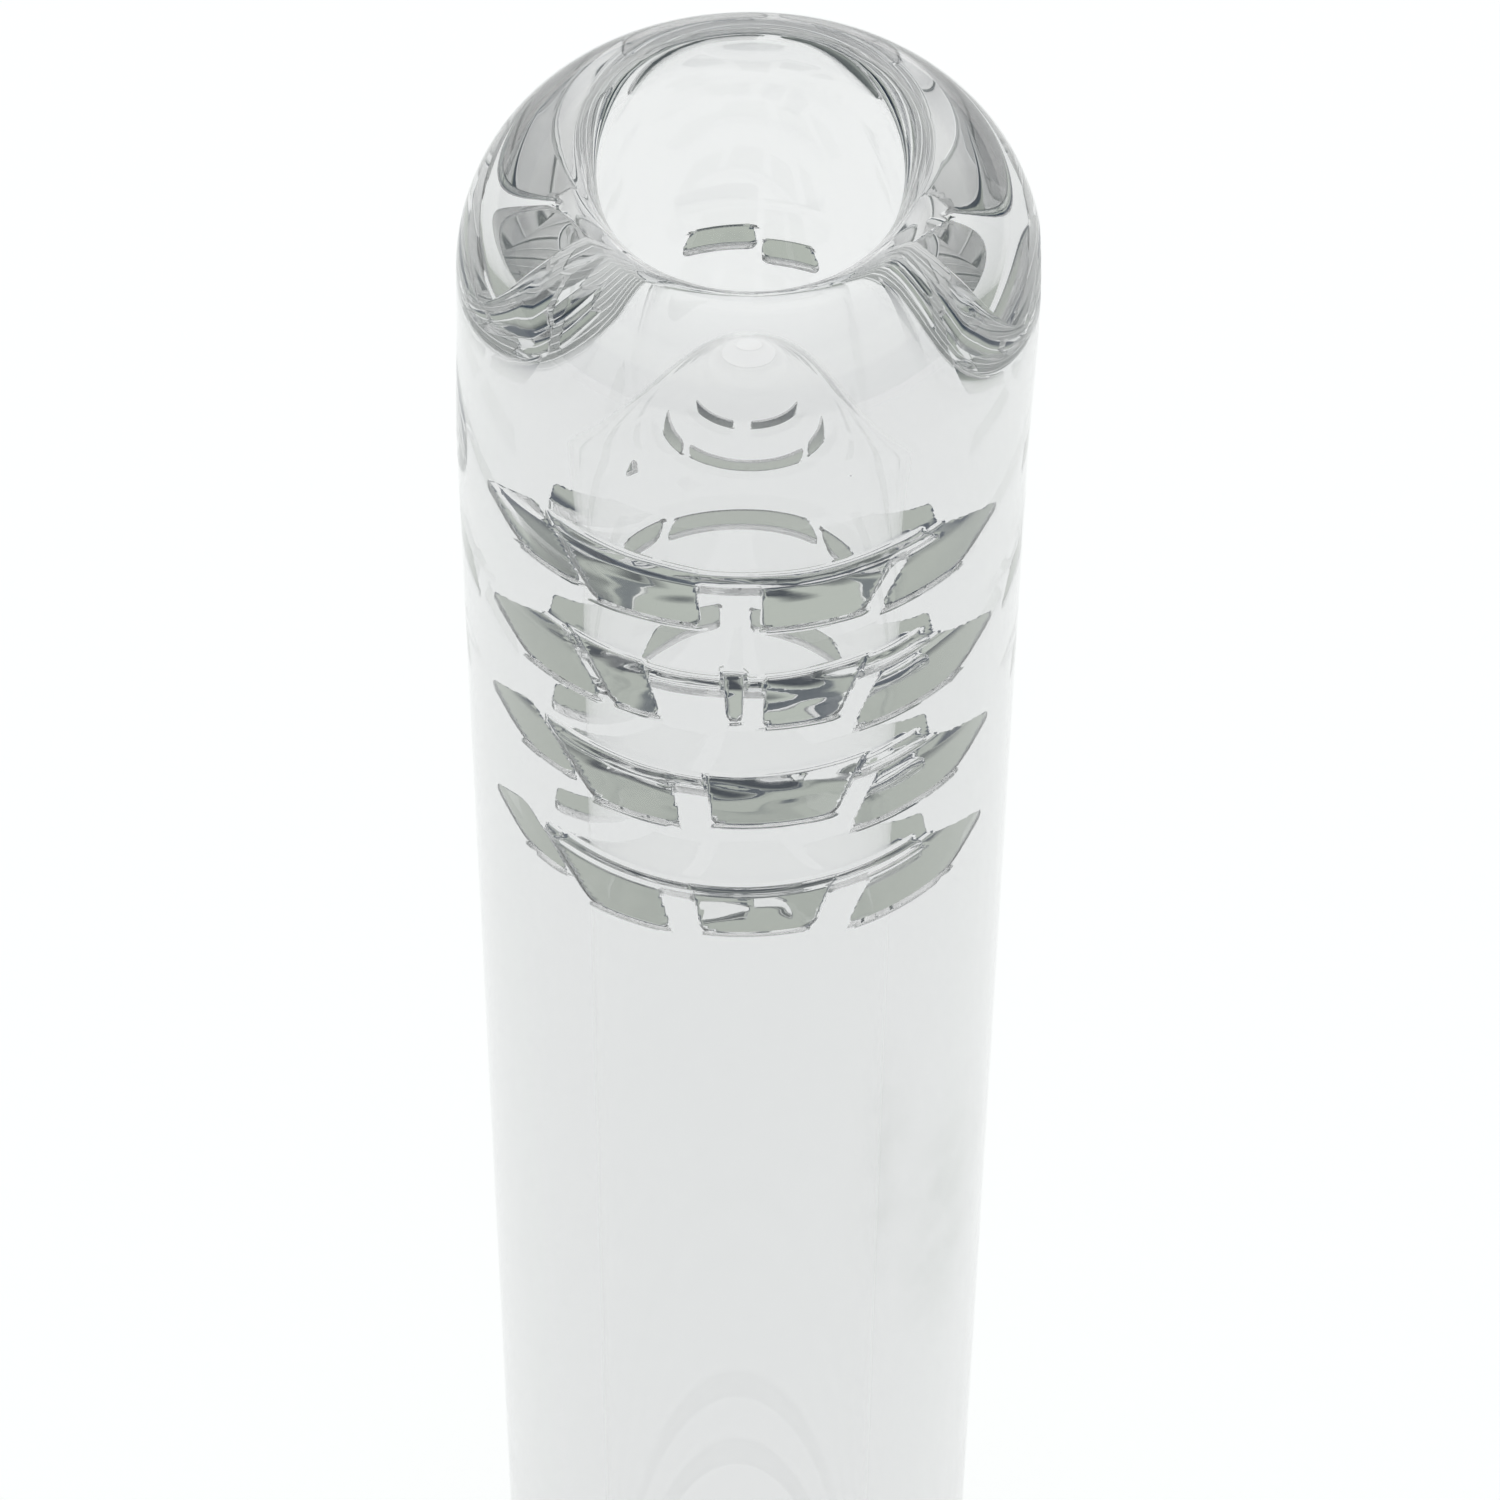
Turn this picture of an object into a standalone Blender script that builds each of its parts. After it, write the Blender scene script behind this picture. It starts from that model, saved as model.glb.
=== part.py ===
"""Slotted glass tube: one piece of heavy-wall glass tubing, standing on its plain end.

The mouth at the top is melted round and drawn together. Below it, in front, four rows of thin slots go through
the wall into the bore, and four rows of shallow cuts face them at the back. Metres, +Z up, origin at the centre
of the plain end's face.
"""

from math import cos, exp, hypot, pi, radians, sin

import bmesh
import bpy

# Driving dimensions
OUTER_RADIUS = 0.00635  # half-inch tubing
LENGTH = 0.065

# The bore: narrowest just inside the mouth, it opens out to its full width below.
NARROW_BORE = 0.49 * OUTER_RADIUS
OPENING = 0.085 * OUTER_RADIUS
OPENING_START = 0.20 * OUTER_RADIUS
OPENING_LENGTH = 0.30 * OUTER_RADIUS
FULL_BORE = NARROW_BORE + OPENING
OPENING_STEPS = (0.3, 0.45, 0.6, 0.8, 1.1, 1.6)  # depths below the mouth, in outer radii

# The mouth: its crest is a circle in the wall, and the glass falls away from it in two quarter ellipses.
CREST_RADIUS = 0.628 * OUTER_RADIUS
MOUTH_OUTER_DROP = 0.458 * OUTER_RADIUS
MOUTH_BORE_DROP = 0.12 * OUTER_RADIUS
MOUTH_STEPS = 7

# At the back the crest lies further out and lower, and the inner side slopes down to the narrow bore.
BACK_CREST_RADIUS = 0.75 * OUTER_RADIUS
BACK_CREST_DROP = 0.06 * OUTER_RADIUS
BACK_OUTER_DROP = 0.26 * OUTER_RADIUS
BACK_SPREAD = 0.235 * OUTER_RADIUS
BACK_SPREAD_DEPTH = 0.72 * OUTER_RADIUS
BACK_NARROWNESS = 3.5  # a higher power keeps the back's own shape closer to its middle

# The plain end is ground flat, with a small chamfer at both of its edges.
END_CHAMFER = 0.0003

SEGMENTS = 64

# The slots have parallel sides. A row lists (left side, right side, depth of the upper face below the mouth),
# all in outer radii. Sawn by hand, so no two slots match.
FRONT_ROWS = (
    ((-0.76, -0.53, 1.127), (-0.50, -0.13, 1.169), (0.06, 0.42, 1.175), (0.46, 0.75, 1.201)),
    ((-0.74, -0.47, 1.690), (-0.44, -0.27, 1.680), (-0.05, 0.01, 1.660), (0.07, 0.34, 1.684), (0.38, 0.76, 1.780)),
    ((-0.77, -0.56, 2.180), (-0.52, -0.20, 2.243), (-0.10, 0.34, 2.216), (0.38, 0.77, 2.333)),
    ((-0.77, -0.60, 2.762), (-0.54, -0.24, 2.849), (-0.14, 0.27, 2.832), (0.38, 0.76, 2.885)),
)
BACK_ROWS = (
    ((-0.28, 0.05, 1.03), (0.07, 0.33, 1.10)),
    ((-0.60, -0.10, 1.70), (0.02, 0.60, 1.72)),
    ((-0.74, -0.45, 2.22), (-0.40, 0.44, 2.24), (0.50, 0.74, 2.26)),
    ((-0.60, -0.12, 2.84), (0.05, 0.62, 2.86)),
)
FRONT_HEIGHT = 0.0004
BACK_HEIGHT = 0.0002
FRONT_END = 0.28 * OUTER_RADIUS  # the front slots stop at this distance from the axis, front to back
BACK_INNER_RADIUS = 0.81 * OUTER_RADIUS  # the back cuts stop here, well outside the bore
CUT_REACH = 1.2 * OUTER_RADIUS
ARC_STEPS = 6

# A shallow groove along the bore joins the slots of each front row.
GROOVE_RADIUS = FULL_BORE + 0.08 * OUTER_RADIUS
GROOVE_INNER_RADIUS = 0.3 * OUTER_RADIUS
GROOVE_SPREAD = radians(54)
GROOVE_HEIGHT = 0.00035
GROOVE_STEPS = 9


def clear_scene():
    for old in list(bpy.data.objects):
        bpy.data.objects.remove(old, do_unlink=True)


def glass_material():
    material = bpy.data.materials.new("clear_glass")
    material.use_nodes = True
    material.diffuse_color = (0.86, 0.89, 0.88, 1.0)
    shader = material.node_tree.nodes["Principled BSDF"]
    shader.inputs["Base Color"].default_value = (0.97, 0.99, 0.98, 1.0)
    shader.inputs["Roughness"].default_value = 0.02
    shader.inputs["Metallic"].default_value = 0.0
    shader.inputs["IOR"].default_value = 1.47
    shader.inputs["Transmission Weight"].default_value = 1.0
    return material


def bore_radius(depth):
    """The bore's radius at this depth below the mouth."""
    below = max(depth - OPENING_START, 0.0)
    return NARROW_BORE + OPENING * (1 - exp(-below / OPENING_LENGTH))


def quarter_ellipse(centre_height, width, drop, from_angle, to_angle):
    """Points of a quarter ellipse around the crest in the section plane, both ends included."""
    points = []
    for step in range(MOUTH_STEPS + 1):
        angle = from_angle + (to_angle - from_angle) * step / MOUTH_STEPS
        points.append((CREST_RADIUS + width * cos(angle), centre_height + drop * sin(angle)))
    return points


def tube_section():
    """The wall's closed outline as (radius, height), from the crest outwards and down, then up the bore."""
    shoulder = quarter_ellipse(
        LENGTH - MOUTH_OUTER_DROP,
        OUTER_RADIUS - CREST_RADIUS,
        MOUTH_OUTER_DROP,
        pi / 2,
        0.0,
    )
    lip = quarter_ellipse(
        LENGTH - MOUTH_BORE_DROP,
        CREST_RADIUS - bore_radius(MOUTH_BORE_DROP),
        MOUTH_BORE_DROP,
        pi,
        pi / 2,
    )
    end = [
        (OUTER_RADIUS, END_CHAMFER),
        (OUTER_RADIUS - END_CHAMFER, 0.0),
        (FULL_BORE + END_CHAMFER, 0.0),
        (FULL_BORE, END_CHAMFER),
    ]
    depths = [step * OUTER_RADIUS for step in reversed(OPENING_STEPS)]
    bore = [(bore_radius(depth), LENGTH - depth) for depth in depths]
    return shoulder + end + bore + lip[:-1]


def blend(start, end, share):
    return start + (end - start) * share


def back_shoulder(radius, depth, share):
    """Where a point of the mouth's outer side goes, by its share of the back's own shape."""
    crest = blend(CREST_RADIUS, BACK_CREST_RADIUS, share)
    outward = (radius - CREST_RADIUS) / (OUTER_RADIUS - CREST_RADIUS)
    drop = blend(MOUTH_OUTER_DROP, BACK_OUTER_DROP, share)
    return blend(crest, OUTER_RADIUS, outward), BACK_CREST_DROP * share + depth * drop / MOUTH_OUTER_DROP


def back_inside(radius, depth, share):
    """The same for a point of the lip or the bore."""
    crest = blend(CREST_RADIUS, BACK_CREST_RADIUS, share)
    inward = (CREST_RADIUS - radius) / (CREST_RADIUS - bore_radius(depth))
    bore = bore_radius(depth) + BACK_SPREAD * share * (1 - depth / BACK_SPREAD_DEPTH)
    lowered = BACK_CREST_DROP * share if depth < MOUTH_BORE_DROP else 0.0
    return blend(crest, bore, inward), depth + lowered


def shape_back(shape):
    """Gives the back of the mouth its own shape, which fades out towards the sides."""
    for corner in shape.verts:
        radius = hypot(corner.co.x, corner.co.y)
        depth = LENGTH - corner.co.z
        share = ((1 + corner.co.y / radius) / 2) ** BACK_NARROWNESS
        if radius > CREST_RADIUS + 1e-6 and depth < MOUTH_OUTER_DROP + 1e-6:
            moved, deeper = back_shoulder(radius, depth, share)
        elif radius < CREST_RADIUS + 1e-6 and depth < BACK_SPREAD_DEPTH:
            moved, deeper = back_inside(radius, depth, share)
        else:
            continue
        corner.co.x *= moved / radius
        corner.co.y *= moved / radius
        corner.co.z = LENGTH - deeper


def turned_tube():
    """The tube's mesh before it is cut: its section turned around the Z axis."""
    shape = bmesh.new()
    corners = [shape.verts.new((radius, 0.0, height)) for radius, height in tube_section()]
    edges = [shape.edges.new((corners[i - 1], corners[i])) for i in range(len(corners))]
    bmesh.ops.spin(
        shape,
        geom=corners + edges,
        axis=(0.0, 0.0, 1.0),
        cent=(0.0, 0.0, 0.0),
        angle=2 * pi,
        steps=SEGMENTS,
        use_merge=True,
    )
    bmesh.ops.remove_doubles(shape, verts=shape.verts, dist=1e-6)
    shape_back(shape)
    bmesh.ops.recalc_face_normals(shape, faces=shape.faces)
    mesh = bpy.data.meshes.new("glass_tube")
    shape.to_mesh(mesh)
    shape.free()
    return mesh


def add_slab(shape, outline, top, height):
    """A flat slab with this (x, y) outline, its upper face at top."""
    floor = [shape.verts.new((x, y, top - height)) for x, y in outline]
    bottom = shape.faces.new(floor)
    raised = bmesh.ops.extrude_face_region(shape, geom=[bottom])
    lifted = [item for item in raised["geom"] if isinstance(item, bmesh.types.BMVert)]
    bmesh.ops.translate(shape, verts=lifted, vec=(0.0, 0.0, height))


def front_outline(left, right):
    """A slot in plan: straight sides, from outside the wall to its flat inner end."""
    return [(left, -CUT_REACH), (right, -CUT_REACH), (right, -FRONT_END), (left, -FRONT_END)]


def back_outline(left, right):
    """A shallow cut in plan: straight sides, and an inner end that follows the wall."""
    arc = []
    for step in range(ARC_STEPS + 1):
        x = right + (left - right) * step / ARC_STEPS
        arc.append((x, (BACK_INNER_RADIUS**2 - x * x) ** 0.5))
    return arc + [(left, CUT_REACH), (right, CUT_REACH)]


def groove_outline():
    """The groove in plan: a sector around the axis, open to the bore."""
    turns = [GROOVE_SPREAD * (2 * step / GROOVE_STEPS - 1) for step in range(GROOVE_STEPS + 1)]
    outer = [(GROOVE_RADIUS * sin(turn), -GROOVE_RADIUS * cos(turn)) for turn in turns]
    inner = [(GROOVE_INNER_RADIUS * sin(turn), -GROOVE_INNER_RADIUS * cos(turn)) for turn in reversed(turns)]
    return outer + inner


def cut_away(tube, name, slabs):
    """Cuts slabs, each (outline, height of its upper face, thickness), out of the tube."""
    shape = bmesh.new()
    for outline, top, height in slabs:
        add_slab(shape, outline, top, height)
    bmesh.ops.recalc_face_normals(shape, faces=shape.faces)
    mesh = bpy.data.meshes.new(f"{name}_cutter")
    shape.to_mesh(mesh)
    shape.free()
    cutter = bpy.data.objects.new(mesh.name, mesh)
    cutter.hide_render = True
    cutter.display_type = "WIRE"
    bpy.context.scene.collection.objects.link(cutter)
    modifier = tube.modifiers.new(name, "BOOLEAN")
    modifier.operation = "DIFFERENCE"
    modifier.solver = "EXACT"
    modifier.object = cutter


def cut_row(tube, name, row, outline, height):
    slabs = []
    for left, right, depth in row:
        plan = outline(left * OUTER_RADIUS, right * OUTER_RADIUS)
        slabs.append((plan, LENGTH - depth * OUTER_RADIUS, height))
    cut_away(tube, name, slabs)


def cut_slots(tube):
    for number, row in enumerate(FRONT_ROWS, start=1):
        cut_row(tube, f"front_row_{number}", row, front_outline, FRONT_HEIGHT)
        depth = sum(slot[2] for slot in row) / len(row)
        groove = (groove_outline(), LENGTH - depth * OUTER_RADIUS, GROOVE_HEIGHT)
        cut_away(tube, f"groove_{number}", [groove])
    for number, row in enumerate(BACK_ROWS, start=1):
        cut_row(tube, f"back_row_{number}", row, back_outline, BACK_HEIGHT)


def build_tube():
    mesh = turned_tube()
    mesh.materials.append(glass_material())
    mesh.shade_smooth()
    mesh.set_sharp_from_angle(angle=radians(35))
    tube = bpy.data.objects.new("glass_tube", mesh)
    bpy.context.scene.collection.objects.link(tube)
    cut_slots(tube)
    return tube


clear_scene()
build_tube()
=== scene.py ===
"""Looks for the slotted glass tube: one piece of clear glass, standing on a pale floor under soft light.

The tube's surface is one closed mesh, found where a distance field is zero. The field says how far a point
lies from the glass, so every edge, rim and slot corner comes out melted round, as flame-polished glass is.
"""

import math

import bpy
import numpy as np
from mathutils import Matrix, Vector


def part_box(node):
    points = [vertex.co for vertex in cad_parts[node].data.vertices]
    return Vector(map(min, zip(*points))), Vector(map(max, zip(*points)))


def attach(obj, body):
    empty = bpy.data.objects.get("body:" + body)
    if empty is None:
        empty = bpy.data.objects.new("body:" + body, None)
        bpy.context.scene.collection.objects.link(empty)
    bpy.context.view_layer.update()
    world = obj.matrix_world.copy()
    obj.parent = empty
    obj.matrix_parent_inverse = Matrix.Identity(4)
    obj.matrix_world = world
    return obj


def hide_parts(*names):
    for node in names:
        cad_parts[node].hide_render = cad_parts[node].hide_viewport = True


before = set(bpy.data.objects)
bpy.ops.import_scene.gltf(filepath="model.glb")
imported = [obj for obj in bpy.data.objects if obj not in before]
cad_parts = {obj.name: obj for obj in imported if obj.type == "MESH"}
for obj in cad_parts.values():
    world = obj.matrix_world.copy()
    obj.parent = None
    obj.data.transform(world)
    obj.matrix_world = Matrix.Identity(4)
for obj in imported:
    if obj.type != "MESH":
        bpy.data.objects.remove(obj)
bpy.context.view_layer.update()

MM = 0.001
TUBE_LOW, TUBE_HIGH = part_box("glass_tube")
RADIUS = (TUBE_HIGH.x - TUBE_LOW.x) / 2
TOP = TUBE_HIGH.z
BASE = TUBE_LOW.z

# The bore is narrowest at the mouth, and opens out below it.
BORE = 0.49 * RADIUS
OPENING = 0.085 * RADIUS
OPENING_START = 0.20 * RADIUS
OPENING_LENGTH = 0.30 * RADIUS
WIDE_BORE = BORE + OPENING
# At the back the rim is narrower and a little lower, and its inner side slopes down to the bore.
BACK_SPREAD = 0.235 * RADIUS
BACK_SPREAD_DEPTH = 0.72 * RADIUS
BACK_DROP = 0.06 * RADIUS
BACK_FALL = 0.26 * RADIUS
BACK_CREST = 0.75 * RADIUS
BACK_NARROWNESS = 3.5

# The mouth: its crest is a circle in the wall, and it falls to the outside and the bore in quarter ellipses.
CREST = 0.628 * RADIUS
OUTER_FALL = 0.458 * RADIUS
BORE_FALL = 0.12 * RADIUS

BASE_ROUND = 0.4 * MM

# The melted end is drawn in a little, and leans to one side.
NECK_SHRINK = 0.004
NECK_LEAN = 0.022 * RADIUS
NECK_LENGTH = 1.3 * RADIUS
NECK_FULL = 0.4 * RADIUS  # above this depth the end is drawn in all the way
RIPPLE = 0.008 * MM
RIPPLES = ((2, 0.6, 0.3), (3, 0.5, 2.1), (5, 0.35, 4.0), (8, 0.2, 1.2))  # times around, share, phase

# The slots: thin pockets with parallel sides, thinner towards the outside. A row is a list of
# (left side, right side, depth of the upper face below the mouth), all as parts of the outer radius.
FRONT_ROWS = (
    ((-0.76, -0.53, 1.127), (-0.50, -0.13, 1.169), (0.06, 0.42, 1.175), (0.46, 0.75, 1.201)),
    (
        (-0.74, -0.47, 1.690),
        (-0.44, -0.27, 1.680),
        (-0.05, 0.01, 1.660),
        (0.07, 0.34, 1.684),
        (0.38, 0.76, 1.780),
    ),
    ((-0.77, -0.56, 2.180), (-0.52, -0.20, 2.243), (-0.10, 0.34, 2.216), (0.38, 0.77, 2.333)),
    ((-0.77, -0.60, 2.762), (-0.54, -0.24, 2.849), (-0.14, 0.27, 2.832), (0.38, 0.76, 2.885)),
)
# Behind, the saw went only part of the way in.
BACK_ROWS = (
    ((-0.28, 0.05, 1.03), (0.07, 0.33, 1.10)),
    ((-0.60, -0.10, 1.70), (0.02, 0.60, 1.72)),
    ((-0.74, -0.45, 2.22), (-0.40, 0.44, 2.24), (0.50, 0.74, 2.26)),
    ((-0.60, -0.12, 2.84), (0.05, 0.62, 2.86)),
)
BACK_DEPTH = 0.81 * RADIUS
SLOT_AT_BORE = 0.40 * MM
SLOT_OUTSIDE = 0.10 * MM
SLOT_TAPER_ENDS = (-0.2, 1.1)  # the taper goes on this far past the bore and the outside, in walls
SLOT_END = 0.28 * RADIUS  # the pockets stop at this distance from the axis, measured front to back
SLOT_REACH = RADIUS + 0.1 * MM
SLOT_CORNER = 0.7 * MM
SLOT_INNER_CORNER = 0.3 * MM
SLOT_EDGE = 0.05 * MM

# Near the bore a slot curves up, to this slope at the bore's edge. One width for each front row.
FLARE_SLOPE = 0.12
FLARE_END = 1.3  # the curve goes on this far into the bore, in flare widths
FLARE_WIDTHS = (1.2 * MM, 1.0 * MM, 1.2 * MM, 0.5 * MM)

# Sawn by hand and then melted, the slots are wavy. The waves fade towards the outside and towards both sides.
# One share for each front row.
WAVE_HEIGHT = 0.011 * MM
WAVE_SHARES = (1.0, 0.9, 0.8, 0.1)
WAVE_ACROSS = 1.9 * MM
WAVE_ALONG = 1.4 * MM
WAVE_SHIFTS = (2.1, 1.3)  # each row's waves are shifted by these angles from the row above
WAVE_SLANT = 0.4
WAVE_SECOND = 0.7
WAVE_OUTER_END = 0.92 * RADIUS
WAVE_OUTER_FADE = 0.25 * RADIUS
WAVE_SIDE_END = 0.55 * RADIUS
WAVE_SIDE_FADE = 0.15 * RADIUS

# The groove that joins a row's pockets along the bore.
GROOVE_OUT = 0.08 * RADIUS
GROOVE_HEIGHT = 0.35 * MM
GROOVE_SPREAD = math.radians(54)
GROOVE_ROUND = 0.15 * MM
GROOVE_BLEND = 0.1 * MM

# How far the cut edges are melted round, at the bore and at the outside.
MELT_AT_BORE = 0.12 * MM
MELT_OUTSIDE = 0.03 * MM

FAR = 1.0  # metres: further away than any part of the tube

# The mesh grid that the surface is found on: fine at the slots' upper faces, coarse along the plain wall.
GRID_AROUND = 200
GRID_RADIAL = 0.15 * MM
GRID_FINE = 0.06 * MM
GRID_MOUTH = 0.15 * MM
GRID_MIDDLE = 0.4 * MM
GRID_PLAIN = 1.5 * MM
GRID_INNER_MARGIN = 0.5 * MM
GRID_OUTER_MARGIN = 0.45 * MM
GRID_BELOW_SLOTS = 4.0 * MM
GRID_LAST_STEP = 0.5 * MM
FINE_BELOW = 0.5 * MM
FINE_ABOVE = 0.1 * MM
BASE_ZONE = 0.6 * MM

# Points settle onto the surface in a few short moves.
SETTLE_ROUNDS = 4
SETTLE_MOVE = 0.08 * MM
LEAST_STEEPNESS = 0.05
SLOPE_STEP = 2e-6
WINDING_SAMPLE = 50  # this many faces show which way all of them face
TINY = 1e-6

GLASS_IOR = 1.47

# The glass's colour darkens towards the outside: painted shade that dims the tube's sides. Its bore is clean,
# and long ways through the glass look darker.
OUTSIDE_PAINTED_SHADE = (0.75, 0.75, 0.753, 1.0)
BORE_TINT = (1.0, 1.0, 1.0, 1.0)
TINT_FADE = 0.5 * MM
GLASS_DEPTH_COLOUR = (0.86, 0.87, 0.865, 1.0)
GLASS_DEPTH_DENSITY = 12.0  # per metre

# A faint worn smudge on the outside, low on the right. It fades from its centre and noise clouds it softly.
SMUDGE_CENTRE = (0.82 * RADIUS, -0.57 * RADIUS, TOP - 5.1 * RADIUS)
SMUDGE_REACH = (0.24 * RADIUS, 0.5 * RADIUS, 1.0 * RADIUS)
SMUDGE_TINT = (0.52, 0.54, 0.52, 1.0)
SMUDGE_GRAIN = 700.0
SMUDGE_SOLID = 0.3  # it starts to fade at this part of its reach
SMUDGE_NOISE = (0.25, 0.9)

# The flame leaves faint waves in the surface, and the plain end is ground.
FLAME_GRAIN = 260.0
FLAME_STRENGTH = 0.04
FLAME_HEIGHT = 0.02 * MM
GROUND_ROUGHNESS = 0.45
GROUND_FROM = BASE + 0.02 * MM
GROUND_TO = BASE + 0.3 * MM

# The floor and the horizon are white. Higher up the sky has a dark band, a pale one and a dark top.
FLOOR_HALF = 4.0
FLOOR_GAP = 0.02 * MM
FLOOR_GREY = (0.8, 0.8, 0.8, 1.0)
FLOOR_GLOW = 0.8
WHITE = (1.0, 1.0, 1.0, 1.0)
SKY_BAND = (0.06, 0.08, 0.11, 1.0)
SKY_PALE = (0.5, 0.54, 0.49, 1.0)
SKY_TOP = (0.025, 0.035, 0.05, 1.0)
SKY_STOPS = (
    (0.0, WHITE),
    (0.1, WHITE),
    (0.13, SKY_BAND),
    (0.52, SKY_BAND),
    (0.6, SKY_PALE),
    (0.8, SKY_PALE),
    (0.9, SKY_TOP),
)
LIGHT_BOUNCES = 64  # enough for light that is trapped in the rim to find its way out

# The camera looks down at the mouth from the front.
CAMERA_PITCH = math.radians(50.0)
CAMERA_ROLL = math.radians(0.43)
CAMERA_DISTANCE = 18.74 * RADIUS
CAMERA_LENS = 135.24
CAMERA_SENSOR = 36.0
CAMERA_NEAR = 0.001
CAMERA_FAR = 100.0
MOUTH_ABOVE_CENTRE = 0.3862  # where the mouth's centre sits in the frame, as parts of its height
MOUTH_LEFT_OF_CENTRE = 0.0039


# --- the distance field --------------------------------------------------------------------------


def soft_max(a, b, width):
    """The larger of two fields, with the crease between them rounded over this width."""
    near = np.maximum(width - np.abs(a - b), 0) / width
    return np.maximum(a, b) + near * near * width / 4


def soft_min(a, b, width):
    return -soft_max(-a, -b, width)


def ease(value):
    value = np.clip(value, 0, 1)
    return value * value * (3 - 2 * value)


def oval(across, along, half_across, half_along):
    """Roughly the distance from an ellipse."""
    u = across / half_across
    v = along / half_along
    size = np.hypot(u, v)
    slope = np.hypot(u / half_across, v / half_along) / np.maximum(size, TINY)
    return (size - 1) / np.maximum(slope, TINY)


def towards_back(theta):
    """1 at the back of the mouth, falling to 0 at its sides."""
    return ((1 - np.cos(theta)) / 2) ** BACK_NARROWNESS


def bore_radius(theta, z):
    below = np.maximum(TOP - OPENING_START - z, 0)
    spread = BACK_SPREAD * np.clip(1 - (TOP - z) / BACK_SPREAD_DEPTH, 0, 1)
    return BORE + OPENING * (1 - np.exp(-below / OPENING_LENGTH)) + spread * towards_back(theta)


def plain_tube(theta, rho, z):
    """The tube with its rounded mouth and base, before the slots are cut."""
    back = towards_back(theta)
    top = TOP - BACK_DROP * back
    crest = CREST + (BACK_CREST - CREST) * back
    fall = OUTER_FALL + (BACK_FALL - OUTER_FALL) * back
    outside = oval(rho - crest, np.maximum(z - (top - fall), 0), RADIUS - crest, fall)
    half = crest - bore_radius(theta, z)
    inside = oval(crest - rho, np.maximum(z - (top - BORE_FALL), 0), half, BORE_FALL)
    wall = np.where(rho > crest, outside, inside)
    return soft_max(wall, BASE - z, BASE_ROUND)


def flare(rho, number):
    """How far a row's slots have curved up at this radius."""
    width = FLARE_WIDTHS[number]
    near = np.clip((WIDE_BORE + width - rho) / width, 0, FLARE_END)
    return FLARE_SLOPE * width / 2 * near**2


def waves(rho, x, y, number):
    """How far a row's slots stand above their flat shape."""
    bend = np.sin(2 * math.pi * y / WAVE_ALONG)
    first = np.sin(2 * math.pi * x / WAVE_ACROSS + WAVE_SHIFTS[0] * number + bend)
    second = np.sin(2 * math.pi * (y + WAVE_SLANT * x) / WAVE_ALONG + WAVE_SHIFTS[1] * number)
    outer_fade = ease((WAVE_OUTER_END - rho) / WAVE_OUTER_FADE)
    side_fade = ease((WAVE_SIDE_END - np.abs(x)) / WAVE_SIDE_FADE)
    return WAVE_HEIGHT * WAVE_SHARES[number] * outer_fade * side_fade * (first + WAVE_SECOND * second)


def pocket(rho, x, y, z, left, right, depth, side, inner):
    """One slot: thin, parallel-sided, its outer corners rounded in plan. side is 1 in front and -1 behind."""
    middle = (left + right) / 2 * RADIUS
    sides = np.abs(x - middle) - (right - left) / 2 * RADIUS
    plan = soft_max(sides, y * side + SLOT_END, SLOT_INNER_CORNER)
    plan = soft_max(plan, rho - SLOT_REACH, SLOT_CORNER)
    plan = soft_max(plan, inner - rho, SLOT_INNER_CORNER)
    outward = np.clip((rho - WIDE_BORE) / (RADIUS - WIDE_BORE), *SLOT_TAPER_ENDS)
    height = SLOT_AT_BORE + (SLOT_OUTSIDE - SLOT_AT_BORE) * outward
    top = TOP - depth * RADIUS
    return soft_max(plan, np.maximum(z - top, top - height - z), SLOT_EDGE)


def groove(theta, rho, z, depth):
    """The shallow groove along the bore behind one row."""
    turn = np.abs((theta + math.pi) % (2 * math.pi) - math.pi)
    plan = soft_max(rho - WIDE_BORE - GROOVE_OUT, (turn - GROOVE_SPREAD) * rho, GROOVE_ROUND)
    top = TOP - depth * RADIUS
    return soft_max(plan, np.maximum(z - top, top - GROOVE_HEIGHT - z), GROOVE_ROUND)


def cuts(theta, rho, z):
    """Every slot and groove together."""
    x = rho * np.sin(theta)
    y = -rho * np.cos(theta)
    found = np.full(np.broadcast(theta, rho, z).shape, FAR)
    for number, row in enumerate(FRONT_ROWS):
        level = z - flare(rho, number) - waves(rho, x, y, number)
        for left, right, depth in row:
            found = np.minimum(found, pocket(rho, x, y, level, left, right, depth, 1, 0.0))
        depth = sum(slot[2] for slot in row) / len(row)
        found = soft_min(found, groove(theta, rho, level, depth), GROOVE_BLEND)
    for row in BACK_ROWS:
        for left, right, depth in row:
            found = np.minimum(found, pocket(rho, x, y, z, left, right, depth, -1, BACK_DEPTH))
    return found


def drawn_in(theta, rho, z):
    """The angle and radius that a point near the mouth had before the end was melted."""
    melted = ease((z - TOP + NECK_LENGTH) / (NECK_LENGTH - NECK_FULL))
    x = rho * np.sin(theta) - NECK_LEAN * melted
    y = -rho * np.cos(theta)
    ripple = sum(share * np.sin(times * theta + phase) for times, share, phase in RIPPLES)
    radius = np.hypot(x, y) / (1 - NECK_SHRINK * melted) + RIPPLE * melted * ripple
    return np.arctan2(x, -y), radius


def glass_field(theta, rho, z):
    """Negative inside the glass, positive in the air. theta turns from -Y towards +X."""
    theta, rho = drawn_in(theta, rho, z)
    outward = ease((rho - WIDE_BORE) / (RADIUS - WIDE_BORE))
    melt = MELT_AT_BORE + (MELT_OUTSIDE - MELT_AT_BORE) * outward
    return soft_max(plain_tube(theta, rho, z), -cuts(theta, rho, z), melt)


def field_at(points):
    rho = np.hypot(points[:, 0], points[:, 1])
    theta = np.arctan2(points[:, 0], -points[:, 1])
    return glass_field(theta, rho, points[:, 2])


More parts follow.
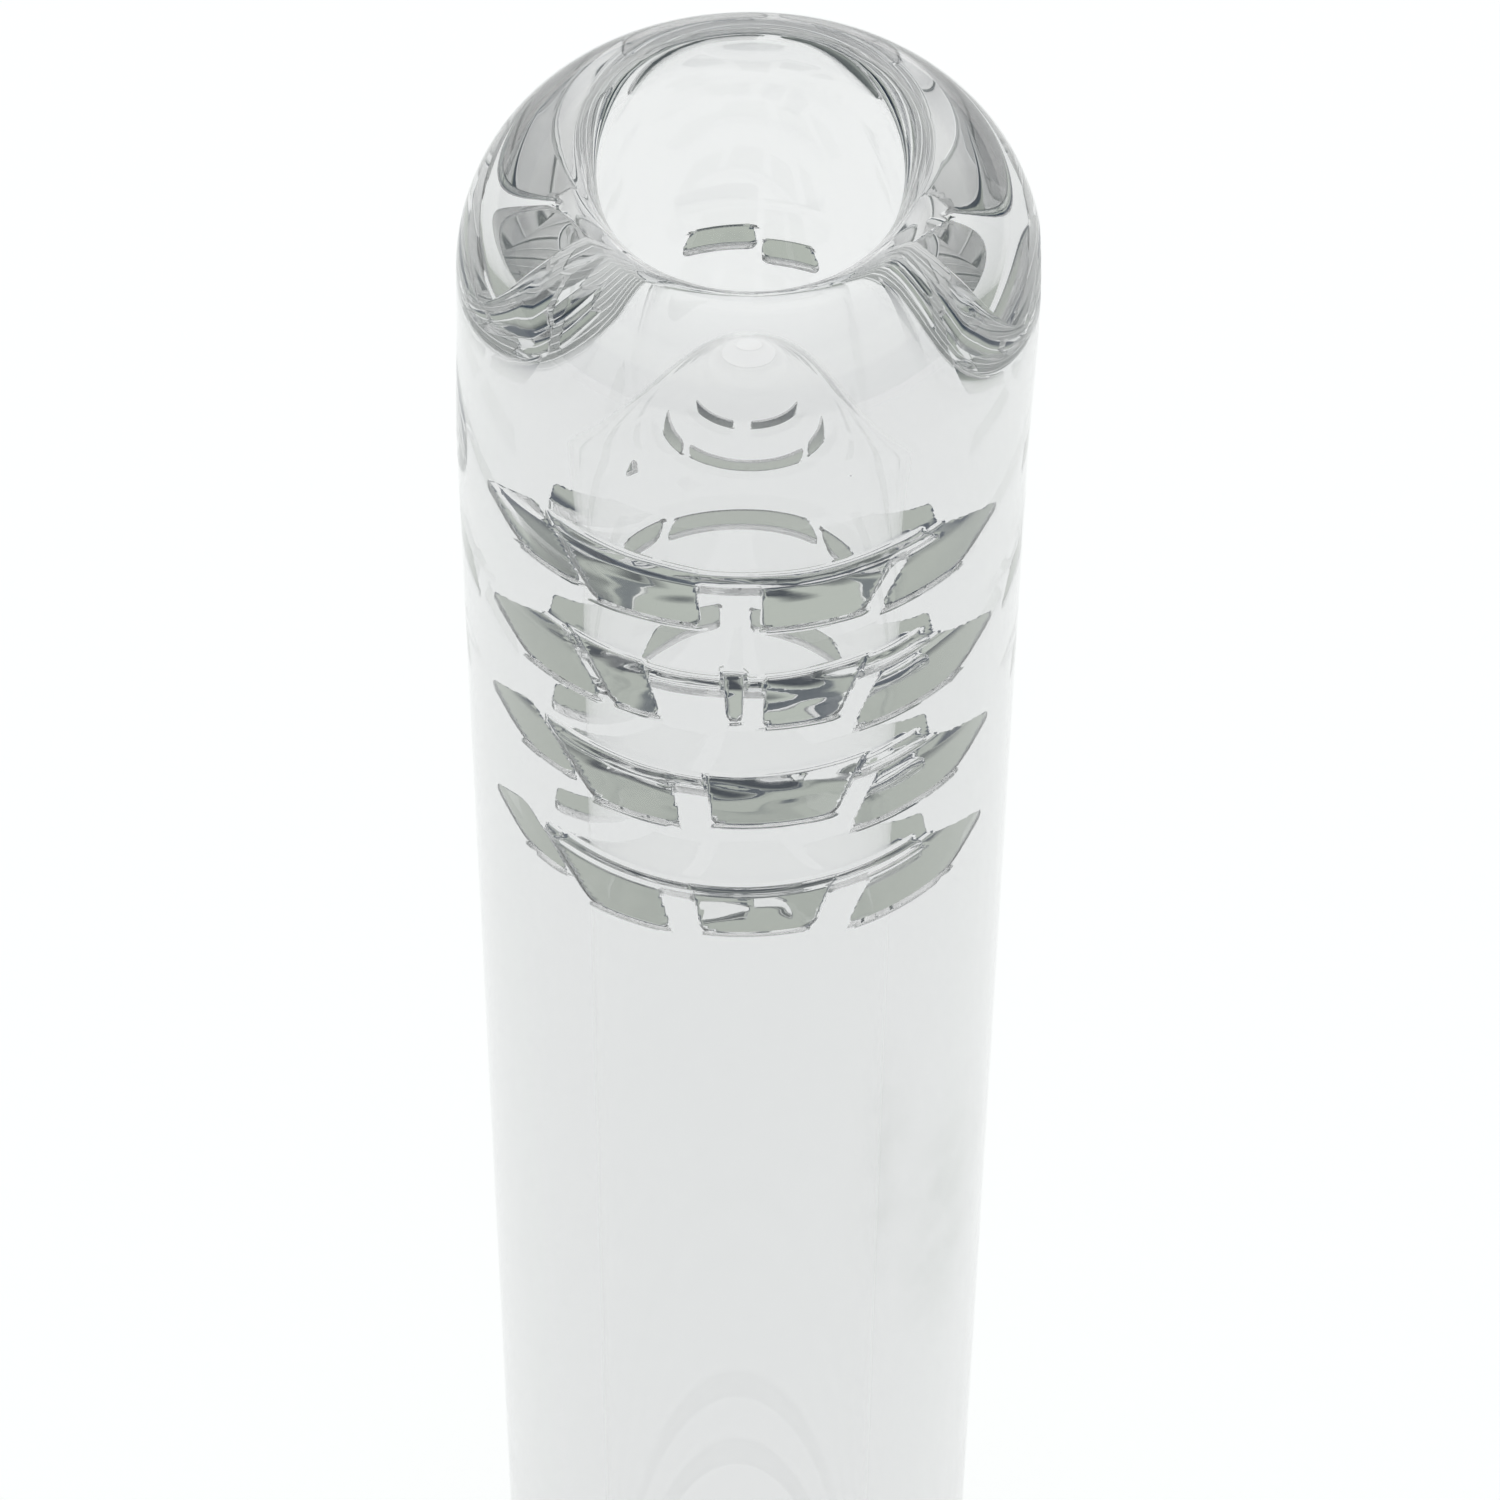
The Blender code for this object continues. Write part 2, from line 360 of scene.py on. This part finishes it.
def gradient_at(points):
    slope = np.empty_like(points)
    for axis in range(3):
        offset = np.zeros(3)
        offset[axis] = SLOPE_STEP
        slope[:, axis] = (field_at(points + offset) - field_at(points - offset)) / (2 * SLOPE_STEP)
    return slope


# --- the mesh --------------------------------------------------------------------------------------


def height_grid():
    """Levels up the tube: close together at the slots and the mouth, far apart along the plain wall."""
    tops = [TOP - slot[2] * RADIUS for row in FRONT_ROWS + BACK_ROWS for slot in row]
    ringed = min(tops) - GRID_BELOW_SLOTS
    levels = [BASE - GRID_MIDDLE]
    while levels[-1] < TOP + GRID_MIDDLE:
        z = levels[-1]
        if any(top - FINE_BELOW < z < top + FINE_ABOVE for top in tops):
            step = GRID_FINE
        elif z > TOP - OUTER_FALL or z < BASE + BASE_ZONE:
            step = GRID_MOUTH
        elif z > ringed:
            step = GRID_MIDDLE
        else:
            step = min(GRID_PLAIN, ringed + GRID_LAST_STEP - z)
        levels.append(z + step)
    return np.array(levels)


def crossing_points(field, cells, thetas, radii, levels):
    """In each cell, the mean of the points where the surface crosses the cell's edges."""
    a, b, c = cells.T
    around = len(thetas)
    total = np.zeros((len(cells), 3))
    count = np.zeros(len(cells))
    corners = [(i, j, k) for i in (0, 1) for j in (0, 1) for k in (0, 1)]
    for one in corners:
        for two in corners:
            if one >= two or sum(p != q for p, q in zip(one, two)) != 1:
                continue
            first = field[(a + one[0]) % around, b + one[1], c + one[2]]
            second = field[(a + two[0]) % around, b + two[1], c + two[2]]
            crossed = (first < 0) != (second < 0)
            share = np.where(crossed, first / np.where(crossed, first - second, 1), 0)
            start = np.stack([(a + one[0]) * thetas[1], radii[b + one[1]], levels[c + one[2]]], 1)
            end = np.stack([(a + two[0]) * thetas[1], radii[b + two[1]], levels[c + two[2]]], 1)
            total[crossed] += (start + (end - start) * share[:, None])[crossed]
            count[crossed] += 1
    theta, rho, z = (total / count[:, None]).T
    return np.stack([rho * np.sin(theta), -rho * np.cos(theta), z], 1)


def settle(points):
    """Moves points onto the surface, a little at a time."""
    for _ in range(SETTLE_ROUNDS):
        slope = gradient_at(points)
        steepness = np.maximum((slope**2).sum(1), LEAST_STEEPNESS)
        move = -(field_at(points) / steepness)[:, None] * slope
        length = np.maximum(np.linalg.norm(move, axis=1), TINY * MM)
        move *= np.minimum(1, SETTLE_MOVE / length)[:, None]
        points = points + move
    return points


def facing_out(quads, solid):
    """The quads as rows, those whose grid edge starts in the air turned round."""
    faces = np.stack(quads, 1)
    faces[~solid] = faces[~solid][:, ::-1]
    return faces


def surface_faces(solid, number):
    """A quad around every grid edge that goes from glass to air."""
    around = solid.shape[0]
    faces = []
    changed = (solid != np.roll(solid, -1, 0))[:, 1:-1, 1:-1]
    i, j, k = (np.argwhere(changed) + (0, 1, 1)).T
    quads = [number[i, j - 1, k - 1], number[i, j, k - 1], number[i, j, k], number[i, j - 1, k]]
    faces.append(facing_out(quads, solid[i, j, k]))
    changed = (solid[:, :-1, :] != solid[:, 1:, :])[:, :, 1:-1]
    i, j, k = (np.argwhere(changed) + (0, 0, 1)).T
    before = (i - 1) % around
    quads = [number[before, j, k - 1], number[before, j, k], number[i, j, k], number[i, j, k - 1]]
    faces.append(facing_out(quads, solid[i, j, k]))
    changed = (solid[:, :, :-1] != solid[:, :, 1:])[:, 1:-1, :]
    i, j, k = (np.argwhere(changed) + (0, 1, 0)).T
    before = (i - 1) % around
    quads = [number[before, j - 1, k], number[i, j - 1, k], number[i, j, k], number[before, j, k]]
    faces.append(facing_out(quads, solid[i, j, k]))
    return np.concatenate(faces)


def surface_cells(solid):
    """Which grid cells hold both glass and air."""
    around, outward, up = solid.shape
    corners = np.zeros((around, outward - 1, up - 1), int)
    for i in (0, 1):
        turned = np.roll(solid, -i, 0)
        for j in (0, 1):
            for k in (0, 1):
                corners += turned[:, j : outward - 1 + j, k : up - 1 + k]
    return (corners > 0) & (corners < 8)


def glass_surface():
    """Points and quads where the field is zero, on a grid that closes on itself around the axis."""
    thetas = np.arange(GRID_AROUND) * 2 * math.pi / GRID_AROUND
    radii = np.arange(BORE - GRID_INNER_MARGIN, RADIUS + GRID_OUTER_MARGIN, GRID_RADIAL)
    levels = height_grid()
    field = glass_field(thetas[:, None, None], radii[None, :, None], levels[None, None, :])
    solid = field < 0
    mixed = surface_cells(solid)
    number = -np.ones(mixed.shape, int)
    number[mixed] = np.arange(mixed.sum())
    points = settle(crossing_points(field, np.argwhere(mixed), thetas, radii, levels))
    points = np.clip(points, np.array(TUBE_LOW), np.array(TUBE_HIGH))
    return points, surface_faces(solid, number)


def glass_mesh():
    """The surface as a mesh, shaded with the field's own normals."""
    points, faces = glass_surface()
    mesh = bpy.data.meshes.new("glass_tube_surface")
    mesh.from_pydata(points.tolist(), [], faces.tolist())
    mesh.update()
    normals = gradient_at(points)
    normals /= np.linalg.norm(normals, axis=1)[:, None]
    first_faces = np.array([face.normal[:] for face in mesh.polygons[:WINDING_SAMPLE]])
    if (first_faces * normals[faces[:WINDING_SAMPLE, 0]]).sum() < 0:
        mesh.flip_normals()
    mesh.shade_smooth()
    mesh.normals_split_custom_set_from_vertices(normals.tolist())
    return mesh


# --- materials ---------------------------------------------------------------------------------------


def new_material(name):
    material = bpy.data.materials.new(name)
    material.use_nodes = True
    return material, material.node_tree.nodes, material.node_tree.links


def outside_shade_share(nodes, links, place):
    """How much of the painted shade shows: 0 at the bore and 1 at the outside."""
    flat = nodes.new("ShaderNodeVectorMath")
    flat.operation = "MULTIPLY"
    flat.inputs[1].default_value = (1.0, 1.0, 0.0)
    links.new(place, flat.inputs[0])
    radius = nodes.new("ShaderNodeVectorMath")
    radius.operation = "LENGTH"
    links.new(flat.outputs["Vector"], radius.inputs[0])
    share = nodes.new("ShaderNodeMapRange")
    share.inputs["From Min"].default_value = WIDE_BORE + TINT_FADE
    share.inputs["From Max"].default_value = RADIUS - TINT_FADE
    links.new(radius.outputs["Value"], share.inputs["Value"])
    return share.outputs["Result"]


def smudge_share(nodes, links, place):
    """How strongly the smudge shows."""
    offset = nodes.new("ShaderNodeVectorMath")
    offset.operation = "SUBTRACT"
    offset.inputs[1].default_value = SMUDGE_CENTRE
    links.new(place, offset.inputs[0])
    scaled = nodes.new("ShaderNodeVectorMath")
    scaled.operation = "DIVIDE"
    scaled.inputs[1].default_value = SMUDGE_REACH
    links.new(offset.outputs["Vector"], scaled.inputs[0])
    distance = nodes.new("ShaderNodeVectorMath")
    distance.operation = "LENGTH"
    links.new(scaled.outputs["Vector"], distance.inputs[0])
    fade = nodes.new("ShaderNodeMapRange")
    fade.inputs["From Min"].default_value = 1.0
    fade.inputs["From Max"].default_value = SMUDGE_SOLID
    links.new(distance.outputs["Value"], fade.inputs["Value"])
    patches = nodes.new("ShaderNodeTexNoise")
    patches.inputs["Scale"].default_value = SMUDGE_GRAIN
    links.new(place, patches.inputs["Vector"])
    broken = nodes.new("ShaderNodeMapRange")
    broken.inputs["From Min"].default_value = SMUDGE_NOISE[0]
    broken.inputs["From Max"].default_value = SMUDGE_NOISE[1]
    links.new(patches.outputs["Fac"], broken.inputs["Value"])
    share = nodes.new("ShaderNodeMath")
    share.operation = "MULTIPLY"
    links.new(fade.outputs["Result"], share.inputs[0])
    links.new(broken.outputs["Result"], share.inputs[1])
    return share.outputs["Value"]


def mix(nodes, links, share, first, second):
    """A colour between two others. The first may be a colour or a socket."""
    colour = nodes.new("ShaderNodeMixRGB")
    if isinstance(first, tuple):
        colour.inputs["Color1"].default_value = first
    else:
        links.new(first, colour.inputs["Color1"])
    colour.inputs["Color2"].default_value = second
    links.new(share, colour.inputs["Fac"])
    return colour.outputs["Color"]


def flame_bump(nodes, links, place):
    """The faint waves that the flame leaves in the surface."""
    noise = nodes.new("ShaderNodeTexNoise")
    noise.inputs["Scale"].default_value = FLAME_GRAIN
    noise.inputs["Detail"].default_value = 1.0
    links.new(place, noise.inputs["Vector"])
    bump = nodes.new("ShaderNodeBump")
    bump.inputs["Strength"].default_value = FLAME_STRENGTH
    bump.inputs["Distance"].default_value = FLAME_HEIGHT
    links.new(noise.outputs["Fac"], bump.inputs["Height"])
    return bump.outputs["Normal"]


def ground_end(nodes, links, place):
    """Roughness: the plain end is ground, and the rest is smooth."""
    split = nodes.new("ShaderNodeSeparateXYZ")
    links.new(place, split.inputs["Vector"])
    ground = nodes.new("ShaderNodeMapRange")
    ground.inputs["From Min"].default_value = GROUND_FROM
    ground.inputs["From Max"].default_value = GROUND_TO
    ground.inputs["To Min"].default_value = GROUND_ROUGHNESS
    ground.inputs["To Max"].default_value = 0.0
    links.new(split.outputs["Z"], ground.inputs["Value"])
    return ground.outputs["Result"]


def glass_material():
    material, nodes, links = new_material("clear_glass_look")
    shader = nodes["Principled BSDF"]
    shader.inputs["IOR"].default_value = GLASS_IOR
    shader.inputs["Transmission Weight"].default_value = 1.0
    depth = nodes.new("ShaderNodeVolumeAbsorption")
    depth.inputs["Color"].default_value = GLASS_DEPTH_COLOUR
    depth.inputs["Density"].default_value = GLASS_DEPTH_DENSITY
    links.new(depth.outputs["Volume"], nodes["Material Output"].inputs["Volume"])
    place = nodes.new("ShaderNodeTexCoord").outputs["Object"]
    # Painted shade: the glass's colour darkens from the bore to the outer surface, dimming the tube's sides.
    tint = mix(nodes, links, outside_shade_share(nodes, links, place), BORE_TINT, OUTSIDE_PAINTED_SHADE)
    tint = mix(nodes, links, smudge_share(nodes, links, place), tint, SMUDGE_TINT)
    links.new(tint, shader.inputs["Base Color"])
    links.new(flame_bump(nodes, links, place), shader.inputs["Normal"])
    links.new(ground_end(nodes, links, place), shader.inputs["Roughness"])
    return material


# --- the tube ----------------------------------------------------------------------------------------


def build_tube():
    tube = bpy.data.objects.new("slotted_tube", glass_mesh())
    bpy.context.scene.collection.objects.link(tube)
    tube.data.materials.append(glass_material())
    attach(tube, "root")
    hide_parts("glass_tube")


# --- floor, light, camera --------------------------------------------------------------------------------


def build_floor():
    mesh = bpy.data.meshes.new("pale_floor")
    half = FLOOR_HALF
    corners = [(-half, -half, 0), (half, -half, 0), (half, half, 0), (-half, half, 0)]
    mesh.from_pydata(corners, [], [(0, 1, 2, 3)])
    floor = bpy.data.objects.new("pale_floor", mesh)
    floor.location.z = BASE - FLOOR_GAP
    bpy.context.scene.collection.objects.link(floor)
    material, nodes, _ = new_material("pale_floor_look")
    shader = nodes["Principled BSDF"]
    shader.inputs["Base Color"].default_value = FLOOR_GREY
    shader.inputs["Roughness"].default_value = 1.0
    shader.inputs["Specular IOR Level"].default_value = 0.0
    shader.inputs["Emission Color"].default_value = WHITE
    shader.inputs["Emission Strength"].default_value = FLOOR_GLOW
    mesh.materials.append(material)


def build_sky():
    """Soft light from all round, in bands."""
    world = bpy.data.worlds.new("studio")
    bpy.context.scene.world = world
    world.use_nodes = True
    nodes, links = world.node_tree.nodes, world.node_tree.links
    background = nodes["Background"]
    place = nodes.new("ShaderNodeTexCoord")
    split = nodes.new("ShaderNodeSeparateXYZ")
    links.new(place.outputs["Generated"], split.inputs["Vector"])
    ramp_node = nodes.new("ShaderNodeValToRGB")
    ramp = ramp_node.color_ramp
    ramp.elements.remove(ramp.elements[-1])
    ramp.elements[0].position, ramp.elements[0].color = SKY_STOPS[0]
    for position, colour in SKY_STOPS[1:]:
        ramp.elements.new(position).color = colour
    links.new(split.outputs["Z"], ramp_node.inputs["Fac"])
    links.new(ramp_node.outputs["Color"], background.inputs["Color"])


def build_camera():
    data = bpy.data.cameras.new("camera")
    camera = bpy.data.objects.new("camera", data)
    bpy.context.scene.collection.objects.link(camera)
    data.lens = CAMERA_LENS
    data.sensor_width = CAMERA_SENSOR
    data.clip_start = CAMERA_NEAR
    data.clip_end = CAMERA_FAR
    forward = Vector((0, math.cos(CAMERA_PITCH), -math.sin(CAMERA_PITCH)))
    level = Vector((1, 0, 0))
    rise = Vector((0, math.sin(CAMERA_PITCH), math.cos(CAMERA_PITCH)))
    right = math.cos(CAMERA_ROLL) * level + math.sin(CAMERA_ROLL) * rise
    up = -math.sin(CAMERA_ROLL) * level + math.cos(CAMERA_ROLL) * rise
    span = CAMERA_SENSOR / CAMERA_LENS * CAMERA_DISTANCE
    camera.location = (
        Vector((0, 0, TOP))
        - forward * CAMERA_DISTANCE
        - up * (MOUTH_ABOVE_CENTRE * span)
        + right * (MOUTH_LEFT_OF_CENTRE * span)
    )
    camera.rotation_mode = "QUATERNION"
    camera.rotation_quaternion = Matrix((right, up, -forward)).transposed().to_quaternion()
    bpy.context.scene.camera = camera


build_tube()
build_floor()
build_sky()
build_camera()
bpy.context.scene.view_settings.view_transform = "Standard"
bpy.context.scene.cycles.max_bounces = LIGHT_BOUNCES
bpy.context.scene.cycles.transmission_bounces = LIGHT_BOUNCES
bpy.context.scene.cycles.glossy_bounces = LIGHT_BOUNCES
